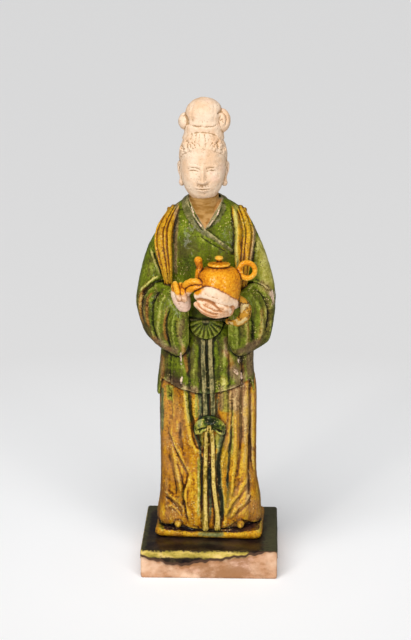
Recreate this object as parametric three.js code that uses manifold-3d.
// A glazed earthenware attendant, standing on a square plinth and holding a lidded ewer.
// Millimetres, +Z up. The viewer looks along +Y at the front, with +X to the right.
// The origin is the middle of the plinth's underside.
import * as THREE from "three";
import { mergeVertices } from "three/addons/utils/BufferGeometryUtils.js";
import Module from "manifold-3d";

const wasm = await Module();
wasm.setup();

// Driving sizes
const PLINTH = { width: 150, depth: 150, height: 32, corner: 6, roll: 2.6 };
const JOINT_GAP = 0.3;
const TIER = { left: 42.5, middle: 39.2, right: 45.5, corner: 7, roll: 2.4, undercut: 3.4 };
const TIER_CORNERS = [[-61, -34], [58, -41], [60.5, 45], [-59, 48]];
const WAIST_HEIGHT = 284;
const CENTRE_X = -4.5;
const HEAD = { x: -8.2, y: -3, crown: 484, hairline: 468, chin: 410, halfWidth: 24.8 };
const FACE_THIRD = (HEAD.hairline - HEAD.chin) / 3;
const BROW = HEAD.hairline - FACE_THIRD;
const EYE_LINE = BROW - 3;
const NOSE_BASE = BROW - FACE_THIRD;
const MOUTH = NOSE_BASE - FACE_THIRD / 3;
const HAIR = { halfWidth: 26.8, halfDepth: 27.8, middle: 456, locks: 10, lockRise: 1 };
const NAPE = 426;
const EWER = { x: 10, y: -50, handleX: 40, handleZ: 340, ring: 8.4, rod: 2.8 };
const FAN = { x: -4, z: 285, reach: 21, pleats: 7 };
const KNOT_Z = 162;
const SHOES = [{ x: -35, y: -38, lift: 6, reach: 9 }, { x: 34, y: -38.5, lift: 8, reach: 11 }];
const HEM_TILT = 2.6;
const BACK_PLEATS = { skirt: 6, jacket: 5, rise: 1.8 };

// Each row of a body table: height, left, right, front and back of an oval section
const SKIRT = [
  [44, -59.5, 57.5, -37, 44], [50, -60.5, 58, -38.5, 45], [60, -59.5, 57, -38.5, 44.5],
  [72, -57.5, 55.5, -38, 43], [84, -56.5, 53, -37, 41.5], [98, -55.8, 50.7, -36, 40],
  [125, -55.4, 50, -34.8, 38.5], [160, -56, 50, -34, 38], [195, -56, 50, -33, 38], [208, -55, 49, -32, 37],
  [224, -50, 44, -28, 33],
];
const JACKET = [
  [192, -59.6, 50.6, -36.5, 41], [202, -59.3, 50.2, -36, 40.5], [215, -58, 48.5, -35, 39.5],
  [230, -56, 47.5, -34, 38.5], [246, -54, 47, -32.5, 37.5], [266, -46, 38.5, -27, 33],
];
const TORSO = [
  [256, -49, 41, -29, 35], [282, -48, 37.5, -28, 34], [305, -50, 39, -29, 35], [330, -52, 42, -30, 36],
  [348, -54, 44, -30.5, 36], [360, -55, 45, -30, 35.5], [370, -55, 45.5, -28, 34], [380, -52, 43, -24.5, 32],
  [389, -46.5, 38, -20.5, 29], [396, -40.5, 31.5, -17, 26], [403, -33, 22.5, -13, 21],
  [410, -20, 7, -7, 14],
];
const TOP_KNOT = [
  [474, -30, 11, -18, 19], [482, -27, 10.6, -16.5, 17.5], [484.5, -28, 11.4, -17.6, 18],
  [491, -27.4, 11.8, -18, 18], [493, -26.4, 10.8, -17, 17], [499.5, -27.6, 12, -18.4, 18.2],
  [501.5, -26.6, 11.2, -17.4, 17.4], [504.5, -27.2, 11.6, -17.8, 18], [510, -24, 9.6, -15.4, 15.4],
  [515.5, -17.6, 3.2, -9.5, 9.5], [518.5, -11, -3.6, -3, 3],
];
// Each row of a sleeve table: x, middle y, half thickness, top and bottom of a section across the forearm
const LEFT_SLEEVE = [
  [-81.4, -3, 4, 300, 291], [-78.5, -4, 11, 304, 280], [-72, -8, 16.5, 310, 263],
  [-64, -14, 18.5, 316, 251], [-55, -20, 19.5, 320, 244.5], [-45, -26, 18, 319, 241.5],
  [-35, -32, 15, 312.5, 241], [-27, -37, 11.5, 305.5, 245], [-22.5, -39.5, 6.5, 298, 256],
];
const RIGHT_SLEEVE = [
  [70.6, -3, 4, 300, 288], [68.4, -4, 11, 304, 270], [65, -8, 15.5, 309, 251], [60, -12, 17.5, 314, 242.5],
  [52, -17, 19, 319, 240], [42, -24, 18.5, 319, 239.5], [33, -30, 16, 312.5, 241], [25, -35, 12, 302.5, 246],
  [20, -38, 7, 292.5, 257],
];
const SLEEVE_PLEATS = { count: 6, rise: 2.2, bow: 7 };

// The pleats down the front: x and rise at each of these heights, ridges and hollows by turns
const SKIRT_PLEAT_HEIGHTS = [205, 150, 105, 52];
const SKIRT_PLEATS = [
  { x: [-51.5, -51, -50.5, -53], rise: [1.5, 1.5, 1.5, 1] },
  { x: [-46.5, -45, -45, -46.5], rise: [-2.4, -2.6, -2.4, -1.6] },
  { x: [-41, -37.5, -32.5, -33], rise: [2.4, 2.4, 2, 0.8] },
  { x: [-35, -33, -25, -26], rise: [-1.6, -1.8, -3, -3] },
  { x: [-28, -24, -19.5, -20], rise: [3, 3, 2.4, 1.4] },
  { x: [-22.5, -18, -15, -15.5], rise: [-3.4, -3.4, 1.4, 1.2] },
  { x: [-15, -11.5, -10.5, -11.5], rise: [0.4, -1.4, -3, -2.6] },
  { x: [-3, -2, -1.2, 0.8], rise: [-2, -2, -2, -2.4] },
  { x: [9, 10, 10, 13], rise: [0, -2, -2.8, -2.4] },
  { x: [14.5, 14, 14, 17], rise: [0.8, 0.4, 1.8, 1.6] },
  { x: [21, 21.5, 20.5, 21], rise: [-3.4, -3.4, -2.6, -1.4] },
  { x: [28, 28, 26, 25], rise: [2.8, 2.8, 2.6, 1.4] },
  { x: [34, 34.5, 32, 30], rise: [-1.4, -2.4, -2.8, -2] },
  { x: [39.5, 39.5, 38, 37.5], rise: [2, 2.2, 2.2, 1.4] },
  { x: [44, 44, 43.5, 45.5], rise: [-2.6, -2.6, -2.2, -1.6] },
  { x: [48, 47.5, 47.5, 52], rise: [1, 1.2, 1.2, 1] },
];
const JACKET_PLEAT_HEIGHTS = [262, 230, 204];
const JACKET_PLEATS = [
  { x: [-45, -50, -51], rise: [0.4, 0.8, 1] },
  { x: [-41, -44, -44], rise: [-1, -1.8, -2] },
  { x: [-36, -37.5, -38], rise: [0.4, 0.6, 0.6] },
  { x: [-30, -31, -31], rise: [1, 2.2, 2.4] },
  { x: [-23, -23, -22.5], rise: [-1.2, -1.8, -2] },
  { x: [-17, -16.5, -16], rise: [0, 0.6, 0.8] },
  { x: [-12, -12, -11.5], rise: [-1, -2.2, -2.4] },
  { x: [-3, -3, -3], rise: [-0.8, -0.8, -0.8] },
  { x: [9.5, 10, 10.5], rise: [-1, -2.4, -2.6] },
  { x: [15, 15, 15.5], rise: [0, 0.6, 0.8] },
  { x: [20, 20.5, 21], rise: [-1, -1.6, -1.8] },
  { x: [26, 27.5, 28], rise: [1, 2.2, 2.4] },
  { x: [32, 35, 36], rise: [-1, -1.8, -2] },
  { x: [37, 41, 43], rise: [0.4, 1.2, 1.4] },
];

const clamp = (value) => Math.min(1, Math.max(0, value));
const mix = (from, to, share) => from + (to - from) * share;
const bell = (distance, reach) => Math.exp(-((distance / reach) ** 2));
const point = (x, y, z) => new THREE.Vector3(x, y, z);
const radians = THREE.MathUtils.degToRad;

function ease(from, to, value) {
  const share = clamp((value - from) / (to - from));
  return share * share * (3 - 2 * share);
}

// Evenly spaced values from one number to another, both included.
function steps(from, to, count) {
  return Array.from({ length: count + 1 }, (_, i) => mix(from, to, i / count));
}

// The value of a list at a height, when the list is given at a few falling heights.
function along(heights, values, z) {
  if (z >= heights[0]) return values[0];
  for (let i = 1; i < heights.length; i++) {
    if (z >= heights[i]) return mix(values[i], values[i - 1], (z - heights[i]) / (heights[i - 1] - heights[i]));
  }
  return values.at(-1);
}

// The row of a table at any value of its first column, on a smooth curve through the rows.
function rowAt(table, value) {
  const last = table.length - 1;
  const rising = table[last][0] > table[0][0] ? 1 : -1;
  let row = 0;
  while (row < last - 1 && (table[row + 1][0] - value) * rising < 0) row += 1;
  const [before, start, end, after] = [row - 1, row, row + 1, row + 2]
    .map((i) => table[Math.min(last, Math.max(0, i))]);
  const span = end[0] - start[0];
  const share = clamp((value - start[0]) / span);
  const slope = (low, high, column) => ((high[column] - low[column]) / (high[0] - low[0])) * span;
  const square = share * share;
  const cube = square * share;
  return start.map((from, column) => {
    if (column === 0) return value;
    return (2 * cube - 3 * square + 1) * from + (cube - 2 * square + share) * slope(before, end, column)
      + (3 * square - 2 * cube) * end[column] + (cube - square) * slope(start, after, column);
  });
}

// A manifold solid from points and triangles, turned the right way out.
function solidOf(points, faces) {
  let volume = 0;
  for (const [a, b, c] of faces) volume += points[a].dot(point(0, 0, 0).crossVectors(points[b], points[c]));
  const outward = volume < 0 ? faces.map(([a, b, c]) => [a, c, b]) : faces;
  return new wasm.Manifold(new wasm.Mesh({
    numProp: 3,
    vertProperties: new Float32Array(points.flatMap((p) => p.toArray())),
    triVerts: new Uint32Array(outward.flat()),
  }));
}

// A closed solid through rings of points, shut at both ends by a fan.
function loft(rings) {
  const sides = rings[0].length;
  const middle = (ring) => ring.reduce((sum, p) => sum.add(p), point(0, 0, 0)).divideScalar(sides);
  const points = [...rings.flat(), middle(rings[0]), middle(rings.at(-1))];
  const faces = [];
  const lastRing = (rings.length - 1) * sides;
  for (let side = 0; side < sides; side++) {
    const next = (side + 1) % sides;
    for (let base = 0; base < lastRing; base += sides) {
      faces.push([base + side, base + next, base + sides + next]);
      faces.push([base + side, base + sides + next, base + sides + side]);
    }
    faces.push([points.length - 2, next, side]);
    faces.push([points.length - 1, lastRing + side, lastRing + next]);
  }
  return solidOf(points, faces);
}

// A three.js geometry as a manifold solid, without its seams and collapsed triangles.
function solidFrom(geometry) {
  const bare = geometry.clone();
  for (const name of ["normal", "uv"]) bare.deleteAttribute(name);
  const merged = mergeVertices(bare, 1e-4);
  const place = merged.getAttribute("position");
  const points = Array.from({ length: place.count }, (_, i) => point(0, 0, 0).fromBufferAttribute(place, i));
  const faces = [];
  for (let i = 0; i < merged.index.count; i += 3) {
    const face = [0, 1, 2].map((k) => merged.index.getX(i + k));
    if (new Set(face).size === 3) faces.push(face);
  }
  return solidOf(points, faces);
}

const join = (solids) => solids.reduce((whole, solid) => whole.add(solid));

// A point on a rounded oval with the left, right, front and back of a table row.
// An angle of -90 degrees faces the viewer; a squareness of 2 is a plain ellipse.
function ovalPoint([z, left, right, front, back], angle, squareness) {
  const power = 2 / squareness;
  const across = Math.sign(Math.cos(angle)) * Math.abs(Math.cos(angle)) ** power;
  const deep = Math.sign(Math.sin(angle)) * Math.abs(Math.sin(angle)) ** power;
  return point(mix(left, right, 0.5 + across / 2), mix(front, back, 0.5 + deep / 2), z);
}

// The angle at which the front of an oval has a given x.
function frontAngle([, left, right], x, squareness) {
  const share = Math.max(-0.995, Math.min(0.995, (x - (left + right) / 2) / ((right - left) / 2)));
  return -Math.acos(Math.sign(share) * Math.abs(share) ** (squareness / 2));
}

// The y of the front of a body table at a place.
function frontY(table, x, z, squareness) {
  const row = rowAt(table, z);
  return ovalPoint(row, frontAngle(row, x, squareness), squareness).y;
}

// Moves a point of an oval outwards by a rise.
function swell(place, [, left, right, front, back], rise) {
  const across = (place.x - (left + right) / 2) / (right - left);
  const deep = (place.y - (front + back) / 2) / (back - front);
  return place.addScaledVector(point(across, deep, 0).normalize(), rise);
}

// A ring of cloth: the pleats of a table across the front, and even pleats round the back.
function clothRing(row, squareness, pleats, pleatHeights, backPleats, z) {
  const front = pleats.map(({ x, rise }) => {
    const place = ovalPoint(row, frontAngle(row, along(pleatHeights, x, z), squareness), squareness);
    return swell(place, row, along(pleatHeights, rise, z));
  });
  const back = steps(-12, 192, backPleats * 2).map((degrees, i) =>
    swell(ovalPoint(row, radians(degrees), squareness), row, i % 2 ? -BACK_PLEATS.rise : 0));
  return [...front, ...back];
}

// A rounded tube through points, with a radius at each and round ends. A flat below 1 presses it thin.
function limb(places, radii, { lengths = 5, sides = 8, flat = 1, up = point(0, -1, 0) } = {}) {
  const curve = new THREE.CatmullRomCurve3(places.map((p) => point(...p)));
  const radiusAt = (share) => {
    const at = share * (radii.length - 1);
    const low = Math.min(radii.length - 2, Math.floor(at));
    return mix(radii[low], radii[low + 1], at - low);
  };
  const stations = [
    { share: 0, push: -0.75, size: 0.62 },
    ...steps(0, 1, lengths).map((share) => ({ share, push: 0, size: 1 })),
    { share: 1, push: 0.75, size: 0.62 },
  ];
  return loft(stations.map(({ share, push, size }) => {
    const tangent = curve.getTangent(share);
    const across = point(0, 0, 0).crossVectors(tangent, up).normalize();
    const out = point(0, 0, 0).crossVectors(across, tangent).normalize();
    const radius = radiusAt(share);
    const centre = curve.getPoint(share).addScaledVector(tangent, push * radius * flat);
    return steps(0, 360 - 360 / sides, sides - 1).map((degrees) => centre.clone()
      .addScaledVector(across, Math.cos(radians(degrees)) * radius * size)
      .addScaledVector(out, Math.sin(radians(degrees)) * radius * size * flat));
  }));
}

// A band of cloth laid along a path, with pleats along its length.
// Each station has a place, an outward direction, a half width and a thickness.
function band(stations, pleats, lengths) {
  const curve = new THREE.CatmullRomCurve3(stations.map((s) => point(...s.at)));
  const out = new THREE.CatmullRomCurve3(stations.map((s) => point(...s.out)));
  const last = stations.length - 1;
  const between = (share, name) => {
    const low = Math.min(last - 1, Math.floor(share * last));
    return mix(stations[low][name], stations[low + 1][name], share * last - low);
  };
  const strips = Math.max(3, pleats * 2);
  return loft(steps(0, 1, lengths).map((share) => {
    const tangent = curve.getTangent(share);
    const across = point(0, 0, 0).crossVectors(tangent, out.getPoint(share)).normalize();
    const away = point(0, 0, 0).crossVectors(across, tangent).normalize();
    const half = between(share, "half");
    const thick = between(share, "thick");
    const top = steps(-1, 1, strips).map((side, i) => {
      const hollow = pleats > 1 ? i % 2 === 0 : i % strips === 0;
      return [side * half, thick * (hollow ? 0.45 : 1)];
    });
    return [...top, [half * 0.9, -thick], [-half * 0.9, -thick]].map(([u, v]) =>
      curve.getPoint(share).addScaledVector(across, u).addScaledVector(away, v));
  }));
}

function ball([x, y, z], [halfX, halfY, halfZ], around = 9, rings = 6) {
  return solidFrom(new THREE.SphereGeometry(1, around, rings).rotateX(Math.PI / 2)
    .scale(halfX, halfY, halfZ).translate(x, y, z));
}

// The outline of a slab with rounded corners, from its four corners in turn from the front left.
// Each straight edge is cut into a number of lengths.
function slabOutline(corners, round, inset, arcSteps, lengths) {
  const arcs = corners.map(([x, y], corner) => {
    const inX = corner === 0 || corner === 3 ? 1 : -1;
    const inY = corner < 2 ? 1 : -1;
    return steps(180 + corner * 90, 270 + corner * 90, arcSteps).map((degrees) => [
      x + inX * (round + inset) + round * Math.cos(radians(degrees)),
      y + inY * (round + inset) + round * Math.sin(radians(degrees)),
    ]);
  });
  return arcs.flatMap((arc, corner) => {
    const [fromX, fromY] = arc.at(-1);
    const [toX, toY] = arcs[(corner + 1) % 4][0];
    const edge = steps(0, 1, lengths).slice(1, -1)
      .map((share) => [mix(fromX, toX, share), mix(fromY, toY, share)]);
    return [...arc, ...edge];
  });
}

// The plinth: rounded corners, and an edge rolled over at the top.
function makePlinth() {
  const { width, depth, height, corner, roll } = PLINTH;
  const corners = [[-1, -1], [1, -1], [1, 1], [-1, 1]].map(([x, y]) => [(x * width) / 2, (y * depth) / 2]);
  const levels = [[0, 0], [height - roll, 0], [height - roll * 0.3, roll * 0.3], [height, roll]];
  return loft(levels.map(([z, inset]) =>
    slabOutline(corners, corner, inset, 4, 1).map(([x, y]) => point(x, y, z))));
}

// The small slab under the feet, a little askew: its corners curl up, and its soft edge is undercut.
function makeTier() {
  const { left, middle, right, corner, roll, undercut } = TIER;
  const bottom = PLINTH.height + JOINT_GAP;
  const levels = [[0, undercut], [0.25, 0.8], [0.7, 0], [1, roll]];
  return loft(levels.map(([share, inset]) => slabOutline(TIER_CORNERS, corner, inset, 3, 4).map(([x, y]) => {
    const top = mix(middle, x < 0 ? left : right, clamp(Math.abs(x) / 60) ** 2);
    return point(x, y, mix(bottom, top, share));
  })));
}

const SKIRT_SQUARENESS = 2.45;
const TORSO_SQUARENESS = 2.25;

// The long skirt: its hem rises over the shoes, and is undercut.
function makeSkirt() {
  const hem = SKIRT[0][0];
  const levels = [hem, 48.5, 60, 76, 92, 108, 130, 150, 205, 222];
  const rings = levels.map((z) => clothRing(
    rowAt(SKIRT, z), SKIRT_SQUARENESS, SKIRT_PLEATS, SKIRT_PLEAT_HEIGHTS, BACK_PLEATS.skirt, z,
  ).map((place) => {
    const overShoes = SHOES.reduce((sum, shoe) => sum + shoe.lift * bell(place.x - shoe.x, shoe.reach), 0);
    const lift = HEM_TILT * ease(0, 50, place.x) + overShoes * ease(-10, -30, place.y);
    place.z += lift * (1 - ease(hem, 82, z));
    return place;
  }));
  const underside = rings[0].map((place) => {
    const row = SKIRT[0];
    return swell(place.clone(), row, -6).setZ(place.z - 1);
  });
  const foot = underside.map((place) => place.clone().setZ(TIER.middle - 2));
  return loft([foot, underside, ...rings]);
}

// The jacket: its front hem dips to the middle, and the side panels hang lower past a slit.
function makeJacket() {
  const top = 264;
  const hemAt = ({ x, y }) => {
    const spread = Math.abs(x - CENTRE_X) / 52;
    const slit = ease(-20, -14, y);
    return mix(199 + 15 * spread ** 1.7, JACKET[0][0], slit);
  };
  const shares = [0, 0.12, 0.4, 0.7, 1];
  const ringAt = (z) => clothRing(
    rowAt(JACKET, z), SKIRT_SQUARENESS, JACKET_PLEATS, JACKET_PLEAT_HEIGHTS, BACK_PLEATS.jacket, z,
  );
  const hem = ringAt(205).map(hemAt);
  const rings = shares.map((share) => hem.map((low, i) => ringAt(mix(low, top, share))[i]));
  const underside = rings[0].map((place) => swell(place.clone(), JACKET[0], -5).setZ(place.z + 1.5));
  return loft([underside, ...rings]);
}

function makeTorso() {
  const levels = [256, 284, 330, 362, 378, 389, 396, 403, 410];
  return loft(levels.map((z) => {
    const row = rowAt(TORSO, z);
    return steps(0, 340, 17).map((degrees) => ovalPoint(row, radians(degrees), TORSO_SQUARENESS));
  }));
}

const UPPER_ARMS = [
  [[-42, 4, 374], [-51, 3, 354], [-57, 2, 335], [-60.5, 1, 315], [-62.5, 0, 298]],
  [[33, 4, 376], [39.5, 3, 354], [46, 2, 335], [50.5, 1, 315], [52, 0, 298]],
];
const UPPER_ARM_RADII = [12, 15.8, 17.5, 18.5, 19.3];

const makeUpperArm = (places) => limb(places, UPPER_ARM_RADII, { lengths: 5, sides: 11, flat: 1.12 });

// A full sleeve round the forearm: its pleats fall from the crook of the elbow and bow outwards.
function makeSleeve(table) {
  const outer = table[0][0];
  const inner = table.at(-1)[0];
  const side = Math.sign(outer);
  const stations = SLEEVE_PLEATS.count * 2;
  const angles = [90, 62, 32, 2, -28, -60, -90, -150, 150];
  return loft(steps(0, 1, stations).map((share, i) => {
    const spread = mix(share, 0.5 - 0.5 * Math.cos(Math.PI * share), 0.45);
    const shown = Math.sin(Math.PI * share) ** 0.7;
    const rise = (i % 2 ? -1 : 1) * SLEEVE_PLEATS.rise * shown;
    return angles.map((degrees) => {
      const height = Math.sin(radians(degrees));
      const facing = Math.cos(radians(degrees));
      const bow = side * SLEEVE_PLEATS.bow * shown * (0.35 - 0.65 * height - height * height);
      const reach = mix(outer, inner, spread);
      const x = reach + (facing > -0.1 ? bow * (1 - share * 0.5) : 0);
      const held = side > 0 ? Math.min(outer, Math.max(inner, x)) : Math.max(outer, Math.min(inner, x));
      const [, y, thick, top, bottom] = rowAt(table, held);
      const out = Math.sign(facing) * Math.abs(facing) ** 0.85;
      const pleat = facing > 0 ? rise * facing ** 0.5 : 0;
      return point(held, y - out * (thick + pleat), mix(bottom, top, 0.5 + 0.5 * height));
    });
  }));
}

// How far the brows, lids, nose, cheeks, lips and chin of a calm, even face stand out.
function faceRise(x, z) {
  const side = Math.abs(x);
  const onNose = ease(NOSE_BASE - 1.5, NOSE_BASE + 1, z) * (1 - ease(EYE_LINE, BROW + 4, z));
  const noseShare = clamp((z - NOSE_BASE) / (BROW - NOSE_BASE));
  const nose = mix(5.6, 1.4, noseShare) * bell(side, mix(4.6, 3, noseShare));
  const socket = -1.9 * bell(side - 9, 6) * bell(z - EYE_LINE, 3.8);
  const lid = 1.5 * bell(side - 9.5, 4.4) * bell(z - EYE_LINE + 0.4, 2.4);
  const cheek = 1 * bell(side - 13, 6) * bell(z - NOSE_BASE - 3, 8);
  const lips = 1.7 * bell(side, 6) * bell(z - MOUTH, 2.6);
  const chinPad = 1.8 * bell(side, 7) * bell(z - HEAD.chin - 4, 4);
  return nose * onNose + socket + lid + cheek + lips + chinPad;
}

// The half width and the front of the head at a height, as an egg that narrows to the chin.
function headRow(z) {
  const widest = mix(HEAD.chin, HEAD.crown, 0.6);
  const reach = z < widest ? widest - HEAD.chin + 2.5 : HEAD.crown - widest + 3;
  const share = Math.min(0.999, Math.abs(z - widest) / reach);
  const half = HEAD.halfWidth * (1 - share ** 2.5) ** 0.5;
  const front = HEAD.y - 25 * (1 - share ** 3.4) ** 0.5;
  const back = HEAD.y + 24 * (1 - share ** 2.2) ** 0.5 - 10 * ease(widest, HEAD.chin, z);
  return [z, HEAD.x - half, HEAD.x + half, front, back];
}

function makeHead() {
  const levels = [
    HEAD.chin, HEAD.chin + 3, HEAD.chin + 7, MOUTH - 2.5, MOUTH + 0.5, MOUTH + 3.5, NOSE_BASE - 1,
    NOSE_BASE + 1.5, NOSE_BASE + 8, EYE_LINE - 3, EYE_LINE, EYE_LINE + 2.6, BROW + 2, BROW + 10,
    HEAD.hairline + 2,
  ];
  const angles = [...steps(-158, -22, 14), ...steps(0, 180, 4)];
  return loft(levels.map((z) => {
    const row = headRow(z);
    return angles.map((degrees) => {
      const place = ovalPoint(row, radians(degrees), 2.15);
      const front = ease(0.3, 0.7, -Math.sin(radians(degrees)));
      place.y -= front * faceRise(place.x - HEAD.x, z);
      return place;
    });
  }));
}

const NECK_PLACES = [[-6, 5, 380], [-6.4, 2, 395], [-7.4, -1, 408], [-8, -2, 420]];
const makeNeck = () => limb(NECK_PLACES, [24, 18, 15.6, 15.6], { lengths: 2, sides: 10 });

// Hair swept up in locks from a line that runs from the forehead past the ears to the nape.
function makeHairCap() {
  const locks = HAIR.locks * 2;
  const shell = (share, lift) => steps(0, 360 - 360 / locks, locks - 1).map((degrees, i) => {
    const toFront = 0.5 - 0.5 * Math.sin(radians(degrees));
    const low = mix(NAPE, HEAD.hairline - 1, toFront ** 0.75);
    const z = mix(low, HEAD.crown - 1, share ** 0.85);
    const up = (z - HAIR.middle) / (z > HAIR.middle ? HEAD.crown + 3 - HAIR.middle : 35);
    const round = Math.sqrt(Math.max(0.05, 1 - up * up)) + lift + ((i % 2) * HAIR.lockRise) / HAIR.halfWidth;
    return point(
      HEAD.x + HAIR.halfWidth * round * Math.cos(radians(degrees)),
      HEAD.y + HAIR.halfDepth * round * Math.sin(radians(degrees)),
      z,
    );
  });
  return loft([shell(0.04, -0.3), shell(0, 0), ...steps(0.2, 1, 4).map((share) => shell(share, 0))]);
}

// The top knot: a domed loop over a bound base, with a smaller loop at each side.
function makeTopKnot() {
  const dome = loft(TOP_KNOT.map((row) =>
    steps(0, 336, 14).map((degrees) => ovalPoint(row, radians(degrees), 2.2))));
  return join([dome, ball([-27, 1, 492.5], [8, 9, 9.6]), ball([11.6, 0, 493.5], [9.4, 10, 13])]);
}

// An ear with a long full lobe, set against the side of the head.
function makeEar(side) {
  const at = (out, y, z) => [HEAD.x + side * out, HEAD.y + y, z];
  const places = [at(24, 2, 448), at(25, 2.5, 441), at(23.4, 2, 433), at(22.6, 1.5, 425)];
  return limb(places, [2.8, 3.4, 2.8, 3.6], { lengths: 3, sides: 6 });
}

// The crossed collar: the first strand lies over the second below the throat.
const COLLAR_STRANDS = [
  [
    [-6, 20, 403], [-21, 15, 405], [-27.5, 3, 403.5], [-26, -10, 398], [-19, -19.5, 388], [-9, -25.6, 377],
    [5, -29, 366.5], [25, -30.6, 353],
  ],
  [[-6, 20, 403], [9, 15, 406], [15.5, 3, 405], [13, -11, 399], [7, -19, 390], [0, -24, 381], [-7, -27.6, 372]],
];

function makeCollar(strand, thick) {
  return band(strand.map(([x, y, z]) => ({
    at: [x, y, z], out: [x - CENTRE_X, y - 4, (z - 375) * 0.9], half: 5.2, thick,
  })), 1, 8);
}

// The stole over both shoulders: it hangs in pleats in front and dips across the back.
const STOLE = [
  { at: [-47, -33, 322], out: [-0.3, -1, 0], half: 3.5, thick: 3 },
  { at: [-49, -31, 340], out: [-0.3, -1, 0], half: 6.5, thick: 3.6 },
  { at: [-50, -27, 358], out: [-0.35, -1, 0.1], half: 9.5, thick: 4 },
  { at: [-48, -21, 374], out: [-0.5, -0.9, 0.35], half: 11, thick: 3.6 },
  { at: [-41, -11, 388], out: [-0.5, -0.6, 0.7], half: 10.5, thick: 3.2 },
  { at: [-35, 3, 396], out: [-0.4, 0, 1], half: 10, thick: 3.2 },
  { at: [-35, 17, 391], out: [-0.3, 0.7, 0.8], half: 11, thick: 3.4 },
  { at: [-28, 30, 374], out: [-0.2, 1, 0.3], half: 11, thick: 3.4 },
  { at: [-5, 37, 362], out: [0, 1, 0.1], half: 11, thick: 3.4 },
  { at: [18, 30, 374], out: [0.2, 1, 0.3], half: 11, thick: 3.4 },
  { at: [26, 17, 391], out: [0.3, 0.7, 0.8], half: 11, thick: 3.4 },
  { at: [27, 3, 396], out: [0.4, 0, 1], half: 11, thick: 3.2 },
  { at: [32.5, -12, 388], out: [0.5, -0.6, 0.7], half: 11.5, thick: 3.8 },
  { at: [36.5, -22, 374], out: [0.5, -0.9, 0.35], half: 11.5, thick: 4.2 },
  { at: [36, -27, 358], out: [0.35, -1, 0.1], half: 10, thick: 4.2 },
  { at: [35, -31, 340], out: [0.3, -1, 0], half: 8, thick: 3.6 },
  { at: [34, -34, 322], out: [0.3, -1, 0], half: 6, thick: 3 },
];

const makeStole = () => band(STOLE, 3, 20);

// The ewer: a turned pot with broad shoulders, a lid and a knob, a spout and a ring handle.
function makeEwer() {
  const profile = [
    [0, 296], [12, 296], [19.5, 304], [23, 316], [23.2, 328], [20.5, 337], [13, 343], [11.4, 344.4],
    [11, 347.4], [4.4, 348.8], [2.6, 350.2], [4.2, 353], [2.8, 355.4], [0, 356],
  ];
  const turned = new THREE.LatheGeometry(profile.map(([r, z]) => new THREE.Vector2(r, z)), 14)
    .rotateX(Math.PI / 2).translate(EWER.x, EWER.y, 0);
  const ring = new THREE.TorusGeometry(EWER.ring, EWER.rod, 6, 12).rotateX(Math.PI / 2)
    .translate(EWER.handleX, EWER.y + 1, EWER.handleZ);
  const root = limb(
    [[25, EWER.y, 337], [33, EWER.y + 1, 338]], [4, 3], { lengths: 1, sides: 6, up: point(0, 0, 1) },
  );
  const spout = limb(
    [[-9, EWER.y - 1, 324], [-11.5, EWER.y - 2, 334], [-11, EWER.y - 2, 344], [-11.4, EWER.y - 2, 352]],
    [5, 4, 3, 3.8], { lengths: 3, sides: 6 },
  );
  return join([solidFrom(turned), solidFrom(ring), root, spout]);
}

// The hand at the spout: a palm, a forefinger laid along the pot and two curled fingers.
function makeSpoutHand() {
  const palm = ball([-26, -45, 304], [13, 9, 12], 8, 6);
  const forefinger = limb(
    [[-29, -49, 313.5], [-20, -57, 321.5], [-9, -62, 328]], [5, 4.8, 3.6], { lengths: 2, sides: 6 },
  );
  const curled = [0, 1].map((finger) => limb(
    [[-34, -48, 320], [-31.5, -55, 315], [-29, -54, 306]].map(([x, y, z]) => [x + finger * 6.4, y, z - finger]),
    [3.2, 3.7, 3.2], { lengths: 2, sides: 5 },
  ));
  return join([palm, forefinger, ...curled]);
}

// The hand cupped under the pot: its back and thumb cross the pot, and four fingers curl below.
function makeCupHand() {
  const wristToThumb = [[31, -44, 299], [20, -57, 303], [8, -65, 309], [-1, -66, 316]];
  const back = limb(wristToThumb, [8, 9.5, 8.5, 5.4], { lengths: 3, sides: 7 });
  const fingers = [0, 1, 2, 3].map((finger) => {
    const up = finger * 2.9;
    return limb(
      [[16 + up, -61, 291 + finger * 1.6], [-1 + up, -70, 294 + up * 0.9], [-12 + up, -66, 302 + up]],
      [6, 4.2, 3], { lengths: 2, sides: 5 },
    );
  });
  return join([back, ...fingers]);
}

// The rolled cuff of the inner sleeve that curls round the cupped hand.
function makeCuff() {
  const places = steps(60, -110, 5).map((degrees) => [
    25 + 14 * Math.cos(radians(degrees)), -43 - 3 * Math.cos(radians(degrees)),
    295.5 + 14 * Math.sin(radians(degrees)),
  ]);
  return limb(places, [4, 5, 5.4, 5.2, 4.4, 3.4], { lengths: 5, sides: 6 });
}

// The pleated fan of cloth gathered below the belt.
function makeFan() {
  const back = -14;
  const rings = [[0.16, 0], [0.6, 1], [0.95, 1], [1, 0]].map(([share, shown]) => {
    const front = steps(188, 352, FAN.pleats * 2).map((degrees, i) => {
      const x = FAN.x + FAN.reach * share * Math.cos(radians(degrees));
      const z = FAN.z + FAN.reach * share * 1.1 * Math.sin(radians(degrees));
      const pleat = i % 2 ? 2.6 * share : 0;
      return point(x, frontY(TORSO, x, z, TORSO_SQUARENESS) - 1.2 - shown * (2.4 + pleat), z);
    });
    return [...front, front.at(-1).clone().setY(back), front[0].clone().setY(back)];
  });
  return loft(rings);
}

// A place on the front of the skirt or jacket, lifted towards the viewer.
const onCloth = (x, z, lift) => [x, frontY(z > 203 ? JACKET : SKIRT, x, z, SKIRT_SQUARENESS) - lift, z];

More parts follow.
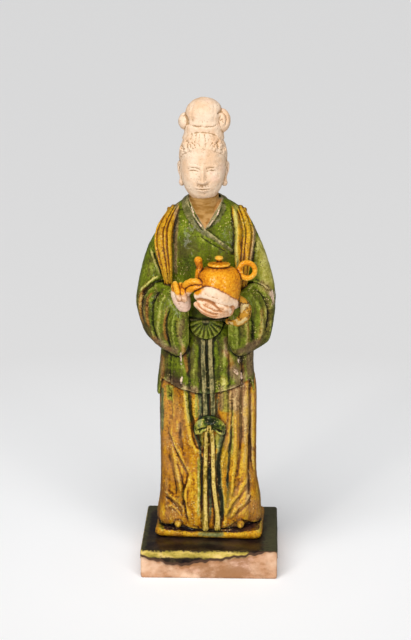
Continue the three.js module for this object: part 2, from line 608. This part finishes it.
// The belt, the paired cords from it, the knot with two loops, and the two hanging tails.
function makeSash() {
  const belt = limb(
    steps(-40, 32, 6).map((x) => [x, frontY(TORSO, x, WAIST_HEIGHT, TORSO_SQUARENESS) + 0.4, WAIST_HEIGHT]),
    [2.8, 2.8], { lengths: 4, sides: 5 },
  );
  const cords = [[-7.4, -5], [0.4, 3.4]].map(([top, low]) => limb([
    onCloth(top, 268, 2), onCloth(top, 240, 1.4), onCloth(mix(top, low, 0.5), 212, 1.4), onCloth(low, 185, 1),
    onCloth(low, KNOT_Z, 2),
  ], [3, 3], { lengths: 4, sides: 5 }));
  const knot = ball(onCloth(-2, KNOT_Z, 1.5), [8.5, 5, 6], 8, 5);
  const loops = [-1, 1].map((side) => limb([
    onCloth(-2 + side * 5, KNOT_Z + 1, 2), onCloth(-2 + side * 12, KNOT_Z + 2, 2.5),
    onCloth(side * 16, KNOT_Z - 2, 2.5), onCloth(side * 14, KNOT_Z - 7, 2), onCloth(-1 + side * 9, KNOT_Z - 6, 1.6),
  ], [2.6, 3.4, 3.6, 3.2, 2.4], { lengths: 4, sides: 5 }));
  const tails = [[-4, -5.5, -4.5], [2, 4.5, 9]].map(([top, middle, low]) => limb([
    onCloth(top, KNOT_Z - 3, 3.5), onCloth(mix(top, middle, 0.5), 130, 2.2), onCloth(middle, 90, 2),
    onCloth(low, 60, 2.2), onCloth(low, 45, 3),
  ], [3.2, 3.6, 3.6, 4.2, 4.4], { lengths: 5, sides: 5, flat: 0.8 }));
  return join([belt, ...cords, knot, ...loops, ...tails]);
}

const makeShoe = ({ x, y }) => ball([x, y + 4, 49.4], [5.2, 10, 4.4], 7, 5);

function makeFigure() {
  return join([
    makeTier(), ...SHOES.map(makeShoe), makeSkirt(), makeJacket(), makeTorso(), ...UPPER_ARMS.map(makeUpperArm),
    makeSleeve(LEFT_SLEEVE), makeSleeve(RIGHT_SLEEVE), makeNeck(), makeHead(), makeHairCap(), makeTopKnot(),
    makeEar(-1), makeEar(1), makeCollar(COLLAR_STRANDS[1], 2), makeCollar(COLLAR_STRANDS[0], 2.8), makeStole(),
    makeEwer(), makeSpoutHand(), makeCupHand(), makeCuff(), makeFan(), makeSash(),
  ]);
}

// A finished solid as a named mesh.
function meshOf(name, solid, material) {
  const { numProp, vertProperties, triVerts } = solid.getMesh();
  const places = new Float32Array((vertProperties.length / numProp) * 3);
  for (let i = 0; i < places.length / 3; i++) {
    places.set(vertProperties.subarray(i * numProp, i * numProp + 3), i * 3);
  }
  const geometry = new THREE.BufferGeometry();
  geometry.setAttribute("position", new THREE.BufferAttribute(places, 3));
  geometry.setIndex(new THREE.BufferAttribute(triVerts, 1));
  geometry.computeVertexNormals();
  const mesh = new THREE.Mesh(geometry, new THREE.MeshStandardMaterial(material));
  mesh.name = name;
  return mesh;
}

const figureGlaze = { color: 0x7f8a2c, roughness: 0.25, metalness: 0 };
const plinthGlaze = { color: 0x4a4a30, roughness: 0.3, metalness: 0 };

const attendant = new THREE.Group();
attendant.add(meshOf("attendant_figure", makeFigure(), figureGlaze));
attendant.add(meshOf("plinth", makePlinth(), plinthGlaze));

export default attendant;
